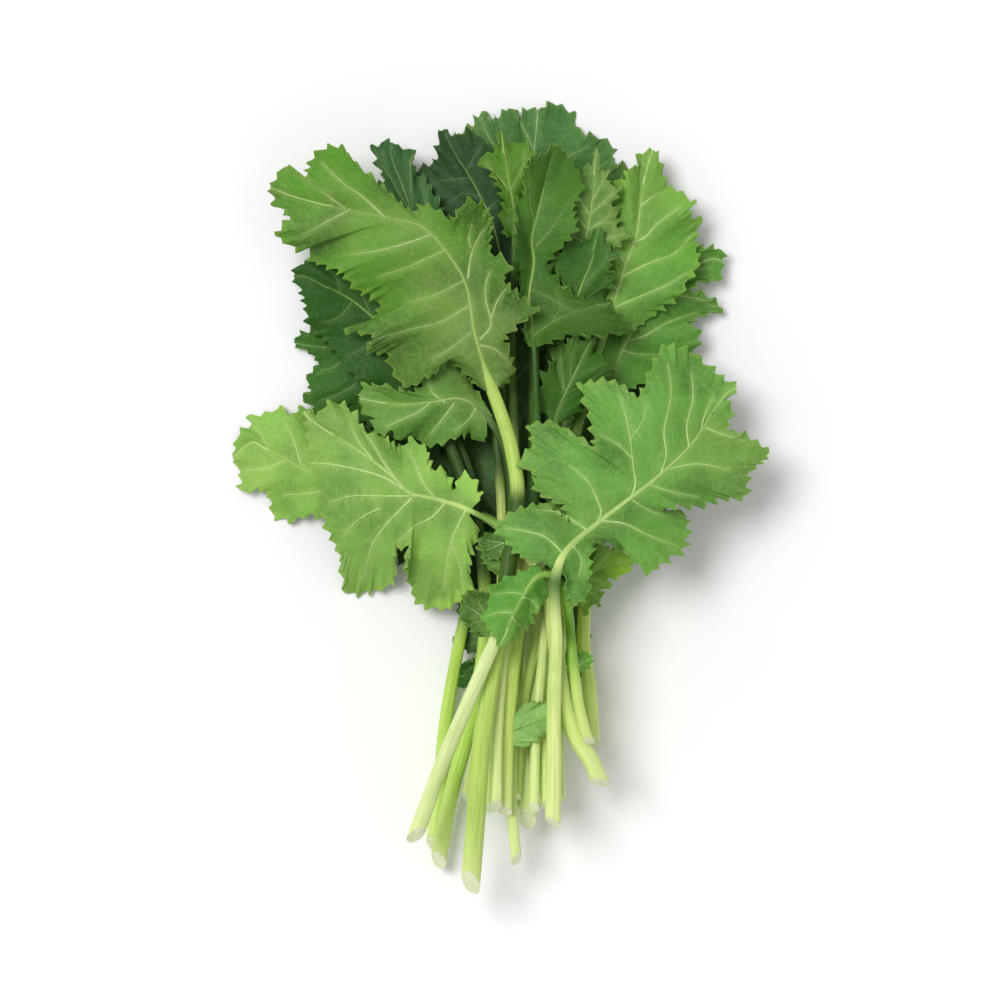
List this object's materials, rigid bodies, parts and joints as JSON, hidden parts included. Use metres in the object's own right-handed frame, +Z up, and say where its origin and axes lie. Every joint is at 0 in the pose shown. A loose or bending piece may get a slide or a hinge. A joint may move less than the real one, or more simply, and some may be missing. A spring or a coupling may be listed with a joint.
{
  "type": "mustard greens bunch",
  "caption": "Loose bunch of mustard greens lying down: broad toothed and lobed leaves fanned out over long pale stalks with cut ends.",
  "frame": {"origin": "on the table, under the centre of the bunch's bounding box", "axes": "+Y along the bunch, from the cut ends of the stalks to the leaf tips; +Z up from the table; +X to the bunch's right, seen from above with the leaf tips away from the viewer"},
  "size_m": [0.27, 0.3992, 0.0751],
  "materials": {
    "leaf_light": "light yellow-green leaf, softly glossy, with pale veins and a pale green stalk",
    "leaf_mid": "mid green leaf, softly glossy, with pale veins and a pale green stalk",
    "leaf_dark": "dark green leaf, softly glossy, with pale veins and a pale green stalk"
  },
  "bodies": {
    "root": {"leaf_front_small": "leaf_mid", "leaf_left_broad": "leaf_light", "leaf_left_high": "leaf_dark", "leaf_left_low": "leaf_dark", "leaf_left_outer": "leaf_light", "leaf_left_upper": "leaf_mid", "leaf_middle_left": "leaf_mid", "leaf_middle_right": "leaf_mid", "leaf_middle_small": "leaf_mid", "leaf_right_broad": "leaf_mid", "leaf_right_curl": "leaf_mid", "leaf_right_high": "leaf_light", "leaf_right_inner": "leaf_mid", "leaf_right_low": "leaf_mid", "leaf_top_back": "leaf_dark", "leaf_top_back_left": "leaf_dark", "leaf_top_bright": "leaf_light", "leaf_top_inner": "leaf_mid", "leaf_top_left_small": "leaf_dark", "leaf_top_middle": "leaf_mid", "leaf_under_front": "leaf_dark", "leaf_under_left": "leaf_dark", "leaf_under_middle": "leaf_dark", "leaf_under_right": "leaf_dark"}
  },
  "joints": []
}
